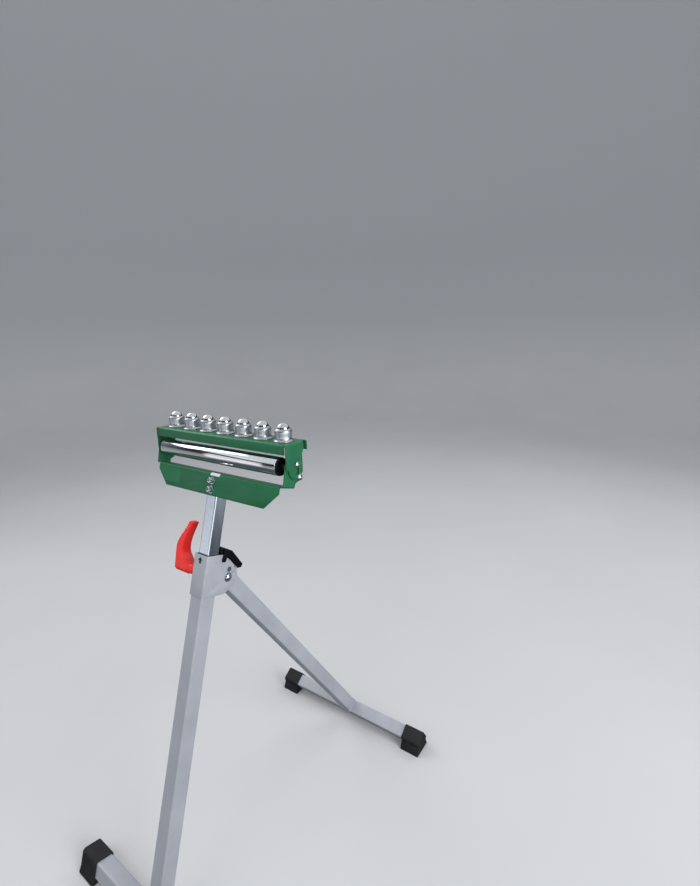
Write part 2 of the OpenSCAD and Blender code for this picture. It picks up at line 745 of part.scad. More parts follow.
// Point at t on a cubic curve through a and d, drawn towards b and c
function curve(a, b, c, d, t) =
    pow(1 - t, 3) * a + 3 * pow(1 - t, 2) * t * b + 3 * (1 - t) * t * t * c + pow(t, 3) * d;
// Outline of the lever's arm: out from the centre plane, and up from its axis
function arm_outer(t) =
    curve([-hub_out + 0.5, 28], [-hub_out, 0.46 * lever_h], [-hub_out + 7, 0.66 * lever_h], [-54.5, lever_h - 3], t);
function arm_inner(t) =
    curve([-48, lever_h - 3], [-63, 0.66 * lever_h], [-66, 0.34 * lever_h], [-hub_in, hub_r - 1], t);
// Moulded clamp lever: round hub on the screw, curved arm with grip grooves
module clamp_lever() {
    steps = 12;
    neck_in = sleeve_out + 6.4;
    color("#d8201c") on_leg(clamp_up) difference() {
        union() {
            translate([-(hub_out + hub_in) / 2, 0, 0]) x_pin(hub_r, hub_out - hub_in);
            translate([-(hub_in + neck_in + 1) / 2, 0, 0]) x_pin(hub_r - 1.5, hub_in - neck_in + 1);
            intersection() {
                rotate([90, 0, 0]) linear_extrude(lever_t, center = true) polygon(concat(
                    [[-hub_out, -4]],
                    [for (i = [0 : steps]) arm_outer(i / steps)],
                    [[-53.5, lever_h - 0.8], [-51.3, lever_h], [-49, lever_h - 0.8]],
                    [for (i = [0 : steps]) arm_inner(i / steps)],
                    [[-hub_in, 0]]
                ));
                along_x(3 * hub_out) polygon([
                    [-lever_t / 2, -5], [lever_t / 2, -5], [lever_t / 2, 0.3 * lever_h],
                    [lever_tip / 2, lever_h - 3], [lever_tip / 2 - 3, lever_h + 1],
                    [3 - lever_tip / 2, lever_h + 1], [-lever_tip / 2, lever_h - 3],
                    [-lever_t / 2, 0.3 * lever_h]
                ]);
            }
        }
        for (t = [0.7 : 0.07 : 0.98]) let (p = arm_outer(t)) translate([p[0] - 0.5, 0, p[1]])
            rotate([90, 0, 0]) cylinder(r = 1.3, h = lever_t + 2, center = true, $fn = 24);
        translate([-hub_in, 0, 0]) x_pin(screw_r + bolt_fit, 52);
    }
}
module clamp_screw() {
    tip = column_half + 1.9;
    color("gainsboro") on_leg(clamp_up) translate([-(tip + 66) / 2, 0, 0]) x_pin(screw_r, 66 - tip);
}

// Moulded latch: nose at the column's rear face, tail between the ears, and a cheek outside
// each ear that carries the pivot
module latch() {
    half = sleeve_in - 0.4;
    cheek_t = 2;
    cheek_in = sleeve_out + run_gap;
    color("#1a1c20") on_leg(sleeve_up) {
        along_x(2 * half) polygon([
            [column_half + run_gap, 3], [column_half + run_gap, 12], [26, 9.8], [40, 4.5], [70, -23],
            [67.5, -28.6], [57, -29.6], [34, -10.5], [28.5, -13], [27.5, -20], [23, -20],
            [23, -14], [16.4, -12.5], [15.8, 0.5]
        ]);
        translate([0, latch_back, -latch_down]) x_pin(latch_boss_r, 2 * cheek_in + cheek_t);
        along_x(2 * (cheek_in + cheek_t)) polygon([[18, 2], [18, 9.5], [26, 9], [33, 6.4], [31, 2]]);
        both_sides() translate([cheek_in + cheek_t / 2, 0, 0]) along_x(cheek_t) {
            translate([latch_back, -latch_down]) circle(latch_boss_r + 0.6);
            polygon([
                [latch_back - latch_boss_r - 0.6, -latch_down], [18, 3], [31, 3],
                [latch_back + latch_boss_r + 0.6, -latch_down]
            ]);
        }
    }
}

lower_tube();
sleeve();
front_foot_bar();
front_foot_caps();
column_guide();
leg_pivot_bolt();
leg_pivot_nut();
leg_stop_pin();
clamp_nut();
clamp_pad();
latch_spring();
rear_leg();
rear_leg_bush();
rear_foot_bar();
rear_foot_caps();
column();
column_plug();
roller_bracket();
head_bolts();
head_nuts();
roller_axle();
axle_spacers();
rail_pivot_bolts();
rail_pivot_nuts();
lock_pins();
roller_tube();
roller_plugs();
rail_shoes();
ball_rail();
ball_cups();
ball_nuts();
ball_1();
ball_2();
ball_3();
ball_4();
ball_5();
ball_6();
ball_7();
clamp_lever();
clamp_screw();
latch();
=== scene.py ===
import json
import math
import bpy
import bmesh
from mathutils import Matrix, Vector


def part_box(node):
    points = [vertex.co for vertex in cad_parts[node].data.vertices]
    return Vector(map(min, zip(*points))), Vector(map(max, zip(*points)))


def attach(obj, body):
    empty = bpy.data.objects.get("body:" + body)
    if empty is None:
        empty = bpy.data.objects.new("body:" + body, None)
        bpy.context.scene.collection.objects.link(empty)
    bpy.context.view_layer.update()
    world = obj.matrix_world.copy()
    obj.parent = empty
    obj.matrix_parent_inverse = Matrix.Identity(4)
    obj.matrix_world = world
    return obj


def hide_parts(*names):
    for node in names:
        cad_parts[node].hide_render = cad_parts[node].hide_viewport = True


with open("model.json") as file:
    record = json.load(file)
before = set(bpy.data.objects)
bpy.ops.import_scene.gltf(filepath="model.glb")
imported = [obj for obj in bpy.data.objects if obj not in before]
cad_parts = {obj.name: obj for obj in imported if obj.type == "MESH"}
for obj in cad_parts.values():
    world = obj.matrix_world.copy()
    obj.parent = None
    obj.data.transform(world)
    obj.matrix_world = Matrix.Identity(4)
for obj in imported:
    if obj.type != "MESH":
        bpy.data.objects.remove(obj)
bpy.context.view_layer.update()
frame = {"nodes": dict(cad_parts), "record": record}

MM = 0.001
nodes = frame["nodes"]
bodies = frame["record"]["behaviour"]["bodies"]
slots = {s["node"]: s["material_slot"] for s in frame["record"]["subparts"]}

# Sizes of the stand that its dressed pieces need, in millimetres
LEAN, REAR_LEAN = math.radians(16), math.radians(34.5)
ROLLER_R, ROLLER_X, ROLLER_WALL = 15.0, 145.0, 1.5
BALL_R, BALL_PITCH, BALL_STAND, BALL_COUNT = 11.0, 45.2, 29.0, 7
CUP_R, CUP_BELOW_BALL = 16.6, 8.7
SLEEVE_FRONT, SLEEVE_TOP = 16.9, -142.0
APRON_FRONT, APRON_BEND_R = 14.5, 4.0
AXLE_UP, AXLE_AHEAD = 30.5, 9.0
TUBE_HALF = 15.0
FRONT_FOOT_UP, REAR_FOOT_DOWN = -774.55, 676.5


def middle(node):
    """Middle of a node's box, in metres."""
    low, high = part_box(node)
    return (Vector(low) + Vector(high)) / 2


# Places taken from the frame: the roller's axle, the ball row and the rear leg's pivot
AXLE = middle("roller_axle")
BALLS = [middle("ball_%d" % (i + 1)) for i in range(BALL_COUNT)]
REAR_PIVOT = middle("rear_leg_bush")

# Directions of the two legs, and the middle of the head's shelf, found from the roller's axle
LEG_UP = Vector((0, math.sin(LEAN), math.cos(LEAN)))
LEG_AHEAD = Vector((0, -math.cos(LEAN), math.sin(LEAN)))
REAR_DOWN = Vector((0, math.sin(REAR_LEAN), -math.cos(REAR_LEAN)))
REAR_BACK = Vector((0, math.cos(REAR_LEAN), math.sin(REAR_LEAN)))
SHELF = AXLE - LEG_UP * AXLE_UP * MM - LEG_AHEAD * AXLE_AHEAD * MM

# Turns that lay a lathed piece along X, or ahead of the front leg
TO_X = Matrix.Rotation(math.radians(90), 4, "Y")
TO_AHEAD = Matrix.Rotation(math.radians(90) - LEAN, 4, "X")


def leg_point(x, up, ahead):
    """Point in the front leg's frame: up the leg from the shelf, ahead of the leg's middle."""
    return SHELF + Vector((x * MM, 0, 0)) + LEG_UP * up * MM + LEG_AHEAD * ahead * MM


def rear_point(x, down, back):
    """Point in the rear leg's frame: down the leg from its pivot, behind the leg's middle."""
    return REAR_PIVOT + Vector((x * MM, 0, 0)) + REAR_DOWN * down * MM + REAR_BACK * back * MM


def colour(text):
    """Linear colour of a hex value that is written as it is seen."""
    parts = [int(text[i:i + 2], 16) / 255 for i in (1, 3, 5)]
    return [c / 12.92 if c <= 0.04045 else ((c + 0.055) / 1.055) ** 2.4 for c in parts] + [1.0]


def add(tree, kind, attrs=None, values=None, links=None):
    """Adds a node with its settings, socket values and incoming links."""
    node = tree.nodes.new(kind)
    for name, value in (attrs or {}).items():
        setattr(node, name, value)
    for name, value in (values or {}).items():
        node.inputs[name].default_value = value
    for name, source in (links or {}).items():
        tree.links.new(source, node.inputs[name])
    return node


def per_mm(size):
    """Noise scale whose features are about size millimetres across."""
    return 1000.0 / size


def finish(name, dark, light, rough, relief, grain, patch, metallic=0.0, stretch=(1, 1, 1), turn=0.0,
           contrast=(0.35, 0.65), coat=0.0, ior=1.5, specular=0.5, rough_spread=0.06):
    """Material of two tones mixed by wide patches and a fine grain, in millimetres.

    The patches also vary the roughness, and the grain is the relief.
    """
    made = bpy.data.materials.new(name)
    made.use_nodes = True
    tree = made.node_tree
    shader = tree.nodes["Principled BSDF"]
    shader.inputs["Metallic"].default_value = metallic
    shader.inputs["Specular IOR Level"].default_value = specular
    if not metallic:
        shader.inputs["IOR"].default_value = ior
    shader.inputs["Coat Weight"].default_value = coat
    shader.inputs["Coat Roughness"].default_value = 0.1
    place = add(tree, "ShaderNodeTexCoord")
    laid = add(tree, "ShaderNodeMapping", values={"Rotation": (turn, 0, 0), "Scale": stretch},
               links={"Vector": place.outputs["Object"]})
    wide = add(tree, "ShaderNodeTexNoise",
               values={"Scale": per_mm(patch), "Detail": 4.0, "Roughness": 0.6},
               links={"Vector": laid.outputs["Vector"]})
    fine = add(tree, "ShaderNodeTexNoise", values={"Scale": per_mm(grain), "Detail": 2.0},
               links={"Vector": laid.outputs["Vector"]})
    mixed = add(tree, "ShaderNodeMix", attrs={"data_type": "FLOAT"}, values={"Factor": 0.35},
                links={"A": wide.outputs["Fac"], "B": fine.outputs["Fac"]})
    tone = add(tree, "ShaderNodeValToRGB", links={"Fac": mixed.outputs["Result"]})
    for stop, at, shade in zip(tone.color_ramp.elements, contrast, (dark, light)):
        stop.position, stop.color = at, colour(shade)
    tree.links.new(tone.outputs["Color"], shader.inputs["Base Color"])
    spread = add(tree, "ShaderNodeMapRange",
                 values={"From Min": 0.3, "From Max": 0.7,
                         "To Min": rough - rough_spread, "To Max": rough + rough_spread},
                 links={"Value": wide.outputs["Fac"]})
    tree.links.new(spread.outputs["Result"], shader.inputs["Roughness"])
    bump = add(tree, "ShaderNodeBump", values={"Strength": 1.0, "Distance": relief * MM},
               links={"Height": fine.outputs["Fac"]})
    tree.links.new(bump.outputs["Normal"], shader.inputs["Normal"])
    return made


# Polyester powder coat, baked on steel: a soft shine over a faint orange peel about 1.4 mm across
green_coat = finish("green_powder_coat", "#195f3e", "#1f6a46", 0.42, 0.010, 1.4, 60, specular=0.34)
# The same coat in silver grey: its flake shows as a fine grain, with a softer shine
grey_coat = finish("silver_grey_powder_coat", "#969aa2", "#a4a8b0", 0.42, 0.010, 1.1, 70, coat=0.08)
# Bright zinc plate on drawn tube: cool, with faint draw marks along the tube
drawn_zinc = finish("drawn_zinc_plate", "#acb7c5", "#ccd5df", 0.20, 0.005, 2.2, 26, metallic=1.0,
                    stretch=(1, 1, 0.04), turn=LEAN, contrast=(0.3, 0.7))
# Bright zinc plate on turned and pressed fasteners: a cloudy sheen
zinc = finish("zinc_plate", "#b6bcc5", "#d9dde2", 0.24, 0.006, 0.8, 7, metallic=1.0)
# Hard chrome on a ground tube: mirror-like, with grinding marks round the roller
chrome = finish("hard_chrome", "#d4d7dc", "#e4e6ea", 0.10, 0.0012, 0.6, 24, metallic=1.0,
                stretch=(1, 0.05, 0.05), rough_spread=0.03)
# Polished bearing steel: nearly a mirror, with handling marks
ball_steel = finish("polished_bearing_steel", "#c3c6ca", "#d6d8dc", 0.12, 0.001, 1.5, 9, metallic=1.0,
                    rough_spread=0.04)
# Pressed sheet cup, zinc plated and tumbled: a satin skin
cup_steel = finish("pressed_zinc_cup", "#a6aab0", "#bfc2c7", 0.36, 0.006, 1.0, 6, metallic=1.0)
# Drawn spring wire with its oil-dark skin: a dull sheen
spring_wire = finish("drawn_spring_wire", "#6d7076", "#8b8e94", 0.35, 0.003, 0.7, 3, metallic=1.0)
# Moulded nylon in red: a bright skin over a fine spark-eroded grain
red_nylon = finish("red_moulded_nylon", "#e5221d", "#f12b25", 0.38, 0.008, 0.7, 18, ior=1.53,
                   specular=0.4)
# Moulded nylon in black: the same grain, duller
black_nylon = finish("black_moulded_nylon", "#07080a", "#0c0d0f", 0.50, 0.008, 0.7, 16, specular=0.14)
# Moulded rubber: matt, dusty on its high spots
rubber = finish("moulded_rubber", "#141516", "#242527", 0.78, 0.03, 1.2, 20, ior=1.52, specular=0.35)
# Turned brass: warm, with a light tarnish
brass = finish("turned_brass", "#a5824a", "#c7a564", 0.30, 0.003, 0.6, 4, metallic=1.0)
# Calendered vinyl film in green: smoother than the coat that it sticks to, and a shade off it
green_film = finish("green_vinyl_film", "#1b6442", "#206e49", 0.38, 0.003, 2.5, 40, specular=0.34)
# The same film in white: even, with a soft shine
white_film = finish("white_vinyl_film", "#dcdee0", "#e9eaeb", 0.38, 0.004, 2.5, 20)
# Screen-printed ink in black: a thin layer, a little duller than the coat
black_ink = finish("black_screen_print", "#0f1113", "#17191b", 0.42, 0.004, 0.9, 8)

FINISH = {
    "green_powder": green_coat, "grey_paint": grey_coat, "zinc_steel": zinc, "cup_steel": cup_steel,
    "spring_steel": spring_wire, "chrome_roller": chrome, "ball_steel": ball_steel,
    "red_plastic": red_nylon, "black_plastic": black_nylon, "foot_rubber": rubber, "pad_brass": brass,
}
for name, obj in nodes.items():
    wanted = drawn_zinc if name == "column" else FINISH[slots[name]]
    for held in obj.material_slots:
        held.material = wanted


def linked(name, data):
    """New object in the scene, at the origin."""
    obj = bpy.data.objects.new(name, data)
    bpy.context.scene.collection.objects.link(obj)
    return obj


def mesh_from(work, name):
    """Mesh of what bmesh holds, which is then freed."""
    mesh = bpy.data.meshes.new(name)
    work.to_mesh(mesh)
    work.free()
    return mesh


def body_with(node):
    """Name of the body that holds a node."""
    return next(b for b, held in bodies.items() if node in held)


def new_piece(name, mesh, body, made, slot_name, *stands_for):
    """Piece with this mesh and finish, which rides on a body and may stand for CAD nodes."""
    obj = linked(name, mesh)
    if not mesh.materials:
        mesh.materials.append(made)
    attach(obj, body)
    if stands_for:
        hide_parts(*stands_for)


def smooth(mesh, angle=38):
    """Smooth shading with creases kept above an angle."""
    mesh.polygons.foreach_set("use_smooth", [True] * len(mesh.polygons))
    mesh.set_sharp_from_angle(angle=math.radians(angle))
    return mesh


def baked(obj):
    """Plain mesh of an object with its modifiers. The object itself is removed."""
    bpy.context.view_layer.update()
    seen = obj.evaluated_get(bpy.context.evaluated_depsgraph_get())
    mesh = bpy.data.meshes.new_from_object(seen)
    mesh.name = obj.name
    bpy.data.objects.remove(obj)
    return mesh


def eased(node, width, segments):
    """Dressed copy of a CAD node: its triangles joined to faces and its edges rounded."""
    work = bmesh.new()
    work.from_mesh(nodes[node].data)
    bmesh.ops.remove_doubles(work, verts=work.verts, dist=0.005 * MM)
    bmesh.ops.dissolve_limit(work, angle_limit=math.radians(0.6), verts=work.verts, edges=work.edges)
    obj = linked(node + "_eased", mesh_from(work, node))
    edge = obj.modifiers.new("edge", "BEVEL")
    edge.width = width * MM
    edge.segments = segments
    edge.limit_method = "ANGLE"
    edge.angle_limit = math.radians(32)
    edge.use_clamp_overlap = True
    mesh = smooth(baked(obj))
    mesh.materials.clear()
    new_piece(node + "_eased", mesh, body_with(node), FINISH[slots[node]], slots[node], node)


# Edges as the press, the mould and the saw leave them: radius in millimetres and steps
EDGES = (
    ("roller_bracket", 0.35, 2), ("ball_rail", 0.35, 2), ("sleeve", 0.3, 2), ("latch", 1.0, 3),
    ("front_foot_caps", 1.6, 3), ("rear_foot_caps", 1.6, 3), ("head_nuts", 0.5, 2),
    ("leg_pivot_nut", 0.4, 2), ("rail_pivot_nuts", 0.3, 2),
)
for node, width, segments in EDGES:
    eased(node, width, segments)


def lathe(profile, steps=96, close=True):
    """Solid of revolution about Z from a list of radius and height, in millimetres."""
    work = bmesh.new()
    rings = []
    for r, z in profile:
        if r < 1e-6:
            rings.append([work.verts.new((0, 0, z * MM))])
        else:
            rings.append([work.verts.new((r * MM * math.cos(2 * math.pi * i / steps),
                                          r * MM * math.sin(2 * math.pi * i / steps), z * MM))
                          for i in range(steps)])
    for a, b in list(zip(rings, rings[1:])) + ([(rings[-1], rings[0])] if close else []):
        for i in range(steps):
            j = (i + 1) % steps
            corners = [a[i % len(a)], a[j % len(a)], b[j % len(b)], b[i % len(b)]]
            corners = list(dict.fromkeys(corners))
            if len(corners) > 2:
                work.faces.new(corners)
    bmesh.ops.recalc_face_normals(work, faces=work.faces)
    return work


def lathed(name, profile, place, steps=96, close=True):
    """Mesh of a lathed shape moved to its place."""
    work = lathe(profile, steps, close)
    bmesh.ops.transform(work, matrix=place, verts=work.verts)
    return smooth(mesh_from(work, name))


# Roller: ground tube with eased ends, in place of the faceted one
ROLLER_BORE = ROLLER_R - ROLLER_WALL
half_tube = [(ROLLER_BORE, ROLLER_X), (ROLLER_R - 0.5, ROLLER_X), (ROLLER_R - 0.15, ROLLER_X - 0.15),
             (ROLLER_R, ROLLER_X - 0.5)]
tube_profile = [(r, -x) for r, x in half_tube] + half_tube[::-1]
roller = lathed("roller_sleeve_ground", tube_profile, Matrix.Translation(AXLE) @ TO_X, 160)
new_piece("roller_ground", roller, "roller", chrome, "chrome_roller", "roller_tube")

# Balls: true spheres, one for each body
for i, centre in enumerate(BALLS):
    name = "ball_%d" % (i + 1)
    work = bmesh.new()
    bmesh.ops.create_icosphere(work, subdivisions=5, radius=BALL_R * MM)
    bmesh.ops.transform(work, matrix=Matrix.Translation(centre), verts=work.verts)
    ball = smooth(mesh_from(work, name + "_polished"), 60)
    new_piece(name + "_polished", ball, name, ball_steel, "ball_steel", name)


def tree_for(name, sockets):
    """Empty geometry tree with named inputs and one geometry output."""
    group = bpy.data.node_groups.new(name, "GeometryNodeTree")
    group.interface.new_socket("Geometry", in_out="INPUT", socket_type="NodeSocketGeometry")
    for label, kind in sockets.items():
        group.interface.new_socket(label, in_out="INPUT", socket_type=kind)
    group.interface.new_socket("Geometry", in_out="OUTPUT", socket_type="NodeSocketGeometry")
    return group


def end_tree(group, placed, made):
    """Ends a geometry tree with real copies in their finish."""
    real = add(group, "GeometryNodeRealizeInstances", links={"Geometry": placed})
    dressed = add(group, "GeometryNodeSetMaterial",
                  links={"Geometry": real.outputs["Geometry"], "Material": made})
    add(group, "NodeGroupOutput", links={"Geometry": dressed.outputs["Geometry"]})
    return group


def grown(name, group, values, start=None):
    """Plain mesh grown by a geometry tree."""
    obj = linked(name, start or bpy.data.meshes.new(name))
    live = obj.modifiers.new("grow", "NODES")
    live.node_group = group
    for socket in group.interface.items_tree:
        if socket.in_out == "INPUT" and socket.name in values:
            live[socket.identifier] = values[socket.name]
    return baked(obj)


def ball_row_tree():
    """One pressed cup repeated along the rail, about its middle."""
    group = tree_for("ball_row", {"Cup": "NodeSocketObject", "Count": "NodeSocketInt",
                                  "Pitch": "NodeSocketFloat", "Finish": "NodeSocketMaterial"})
    asked = add(group, "NodeGroupInput")
    step = add(group, "ShaderNodeCombineXYZ", links={"X": asked.outputs["Pitch"]})
    gaps = add(group, "ShaderNodeMath", attrs={"operation": "SUBTRACT"}, values={1: 1.0},
               links={0: asked.outputs["Count"]})
    length = add(group, "ShaderNodeMath", attrs={"operation": "MULTIPLY"},
                 links={0: gaps.outputs[0], 1: asked.outputs["Pitch"]})
    first = add(group, "ShaderNodeMath", attrs={"operation": "MULTIPLY"}, values={1: -0.5},
                links={0: length.outputs[0]})
    start = add(group, "ShaderNodeCombineXYZ", links={"X": first.outputs[0]})
    line = add(group, "GeometryNodeMeshLine",
               links={"Count": asked.outputs["Count"], "Start Location": start.outputs[0],
                      "Offset": step.outputs[0]})
    cup = add(group, "GeometryNodeObjectInfo", links={"Object": asked.outputs["Cup"]})
    placed = add(group, "GeometryNodeInstanceOnPoints",
                 links={"Points": line.outputs["Mesh"], "Instance": cup.outputs["Geometry"]})
    return end_tree(group, placed.outputs["Instances"], asked.outputs["Finish"])


# Cup: a drawn sheet with a stud below and the socket that the ball turns in
CUP_H = BALL_STAND - CUP_BELOW_BALL
SOCKET_R, SOCKET_Z = BALL_R + 0.3, BALL_STAND - BALL_R
SOCKET_TURNS = (100, 90, 75, 60, 45, 30, 15, 0)
# Its flared skirt and body, as inset and height
CUP_SKIRT = ((0.5, 0), (0.12, 0.15), (0, 0.5), (0.15, 0.95), (0.5, 1.4), (1.3, 2.1), (2.1, 3.1),
             (2.65, 4.2), (2.95, 5.6), (3.0, 7.2), (2.8, 10.0))
# Its rounded shoulder and rolled rim, as inset and depth below the mouth
CUP_SHOULDER = ((2.45, 6.3), (2.4, 5.0), (2.6, 3.8), (3.15, 2.6), (3.9, 1.5), (4.6, 0.8),
                (5.1, 0.25), (5.3, 0))
STUD_TIP_R, STUD_R, STUD_LEN = 3.6, 4.0, 10.0
socket_arc = [(SOCKET_R * math.sin(math.radians(a)), SOCKET_Z - SOCKET_R * math.cos(math.radians(a)))
              for a in SOCKET_TURNS]
cup_profile = ([(0, 0)] + [(CUP_R - inset, up) for inset, up in CUP_SKIRT]
               + [(CUP_R - inset, CUP_H - below) for inset, below in CUP_SHOULDER]
               + [(r, z) for r, z in socket_arc if z < CUP_H - 0.2])
stud = bmesh.new()
bmesh.ops.create_cone(stud, cap_ends=True, segments=32, radius1=STUD_TIP_R * MM, radius2=STUD_R * MM,
                      depth=STUD_LEN * MM, matrix=Matrix.Translation((0, 0, -STUD_LEN / 2 * MM)))
work = lathe(cup_profile, 72, False)
work.from_mesh(mesh_from(stud, "stud"))
cup = linked("cup_pattern", smooth(mesh_from(work, "cup"), 50))
cups = grown("cups_pressed", ball_row_tree(), {"Cup": cup, "Count": BALL_COUNT,
                                               "Pitch": BALL_PITCH * MM, "Finish": cup_steel})
bpy.data.objects.remove(cup)
middle_ball = BALLS[BALL_COUNT // 2]
cups.transform(Matrix.Translation((0, middle_ball.y, middle_ball.z - SOCKET_Z * MM)))
new_piece("cups_pressed", cups, "rail", cup_steel, "cup_steel", "ball_cups")


def film(name, outline, ahead, thick, body, made, slot_name):
    """Thin printed or stuck piece on a leaning front face, from an outline in x and up."""
    work = bmesh.new()
    low = [work.verts.new(leg_point(x, u, ahead)) for x, u in outline]
    top = [work.verts.new(leg_point(x, u, ahead + thick)) for x, u in outline]
    work.faces.new(low)
    work.faces.new(top[::-1])
    for i in range(len(outline)):
        j = (i + 1) % len(outline)
        work.faces.new([low[j], low[i], top[i], top[j]])
    bmesh.ops.recalc_face_normals(work, faces=work.faces)
    new_piece(name, mesh_from(work, name), body, made, slot_name)


# Clamp lever: a moulded arm lofted through rounded sections, with grip grooves, on a turned hub
LEVER_UP = SLEEVE_TOP - 35
LEVER_FOOT, LEVER_H, LEVER_STEP, LEVER_STEPS = -3, 83.0, 0.6, 140
ROOT_DEPTH, TIP_DEPTH, TAPER_FROM, TAPER_LEN = 22.0, 15.0, 20, 60
ARM_CORNER_R = 2.0
# Edges of the arm as height above the hub and x: root, bend, tip, and points that set the sweep
OUTER_EDGE = [(-3, -73.4), (24, -76), (35, -77.2), (45, -74.4), (81, -55.4)]
INNER_EDGE = [(-3, -41.4), (6, -43), (13, -48), (24, -58.2), (34, -60.6), (50, -57.6), (81, -44.2)]
GRIP_GROOVES = (59.6, 64.0, 68.4, 72.8, 77.2)
GROOVE_DEPTH, GROOVE_HALF = 1.5, 0.9
# Rounded tip of the arm: distance below its end and share of the full section
TIP_ROUND = ((1.8, 0.95), (1.1, 0.86), (0.5, 0.70), (0.1, 0.45))


def edge_at(edge, z):
    """Smooth x at a height between an edge's points."""
    z = min(max(z, edge[0][0]), edge[-1][0])
    i = max(k for k in range(len(edge) - 1) if edge[k][0] <= z)
    before, low, high, after = (edge[min(max(k, 0), len(edge) - 1)] for k in (i - 1, i, i + 1, i + 2))
    span = high[0] - low[0]
    slope_low = (high[1] - before[1]) / (high[0] - before[0])
    slope_high = (after[1] - low[1]) / (after[0] - low[0])
    u = (z - low[0]) / span
    return (low[1] * (1 + 2 * u) * (1 - u) ** 2 + high[1] * u * u * (3 - 2 * u)
            + span * (slope_low * u * (1 - u) ** 2 - slope_high * u * u * (1 - u)))


def arm_section(half_w, half_d, steps=6):
    """Rounded rectangle about 0, as across and deep."""
    r = min(ARM_CORNER_R, half_w * 0.95, half_d * 0.95)
    points = []
    for quarter, (side, face) in enumerate(((1, 1), (-1, 1), (-1, -1), (1, -1))):
        for i in range(steps + 1):
            a = math.radians(90 * quarter + 90 * i / steps)
            points.append((side * (half_w - r) + r * math.cos(a), face * (half_d - r) + r * math.sin(a)))
    return points


def lever_arm():
    """Arm of the lever, with grooves that fade towards its inner edge."""
    work = bmesh.new()
    rings = []
    levels = [(LEVER_FOOT + LEVER_STEP * i, 1.0) for i in range(LEVER_STEPS)]
    levels += [(LEVER_H - below, share) for below, share in TIP_ROUND]
    for z, share in levels:
        outer, inner = edge_at(OUTER_EDGE, z), edge_at(INNER_EDGE, z)
        half_w = (inner - outer) / 2
        taper = min(max((z - TAPER_FROM) / TAPER_LEN, 0), 1)
        depth = ROOT_DEPTH + (TIP_DEPTH - ROOT_DEPTH) * taper
        groove = -GROOVE_DEPTH * sum(math.exp(-((z - g) / GROOVE_HALF) ** 2) for g in GRIP_GROOVES)
        ring = []
        for a, d in arm_section(half_w * share, depth / 2 * share):
            sunk = groove * min(1.0, 1.6 * (0.5 - 0.5 * a / half_w))
            x = (outer + inner) / 2 + a * (1 + sunk / half_w)
            ring.append(work.verts.new(leg_point(x, LEVER_UP + z, d * (1 + 2 * sunk / depth))))
        rings.append(ring)
    for low, high in zip(rings, rings[1:]):
        for i in range(len(low)):
            j = (i + 1) % len(low)
            work.faces.new([low[i], low[j], high[j], high[i]])
    work.faces.new(rings[0])
    work.faces.new(rings[-1])
    bmesh.ops.recalc_face_normals(work, faces=work.faces)
    return mesh_from(work, "lever_arm")


def joined(name, first, second):
    """One solid mesh of two that overlap."""
    whole, other = linked(name, first), linked(name + "_other", second)
    union = whole.modifiers.new("join", "BOOLEAN")
    union.operation = "UNION"
    union.solver = "EXACT"
    union.object = other
    mesh = baked(whole)
    bpy.data.objects.remove(other)
    return mesh


# Hub of the lever: outer end, a groove, the neck in the sleeve, and the screw's bore
HUB_R, HUB_OUT, HUB_IN, NECK_IN = 11.0, 74.0, 41.0, 23.4
SCREW_BORE_R, SCREW_BORE_END = 4.2, 60
hub_profile = [(0, -HUB_OUT), (HUB_R - 2.2, -HUB_OUT), (HUB_R - 1.0, -HUB_OUT + 0.3),
               (HUB_R - 0.3, -HUB_OUT + 1.0), (HUB_R, -HUB_OUT + 2.2),
               (HUB_R, -HUB_IN - 5), (HUB_R - 0.5, -HUB_IN - 4.4), (HUB_R, -HUB_IN - 3.8),
               (HUB_R, -HUB_IN - 1.2), (HUB_R - 0.4, -HUB_IN - 0.4), (HUB_R - 1.2, -HUB_IN),
               (HUB_R - 1.5, -HUB_IN + 0.3), (HUB_R - 1.5, -NECK_IN - 0.6), (HUB_R - 2.1, -NECK_IN),
               (SCREW_BORE_R, -NECK_IN), (SCREW_BORE_R, -SCREW_BORE_END), (0, -SCREW_BORE_END)]
hub = lathed("lever_hub", hub_profile, Matrix.Translation(leg_point(0, LEVER_UP, 0)) @ TO_X, 64, False)
lever = smooth(joined("lever_moulded", lever_arm(), hub), 34)
lever.materials.clear()
new_piece("lever_moulded", lever, "clamp_lever", red_nylon, "red_plastic", "clamp_lever")


def weld_bead_tree():
    """One drop of weld repeated along a path, each a little larger or smaller."""
    group = tree_for("weld_bead", {"Spacing": "NodeSocketFloat", "Drop radius": "NodeSocketFloat",
                                   "Finish": "NodeSocketMaterial"})
    asked = add(group, "NodeGroupInput")
    path = add(group, "GeometryNodeMeshToCurve", links={"Mesh": asked.outputs["Geometry"]})
    even = add(group, "GeometryNodeResampleCurve", attrs={"mode": "LENGTH"},
               links={"Curve": path.outputs["Curve"], "Length": asked.outputs["Spacing"]})
    drop = add(group, "GeometryNodeMeshIcoSphere", values={"Subdivisions": 2},
               links={"Radius": asked.outputs["Drop radius"]})
    size = add(group, "FunctionNodeRandomValue", values={2: 0.85, 3: 1.1, "Seed": 7})
    placed = add(group, "GeometryNodeInstanceOnPoints",
                 links={"Points": even.outputs["Curve"], "Instance": drop.outputs["Mesh"],
                        "Scale": size.outputs[1]})
    return end_tree(group, placed.outputs["Instances"], asked.outputs["Finish"])


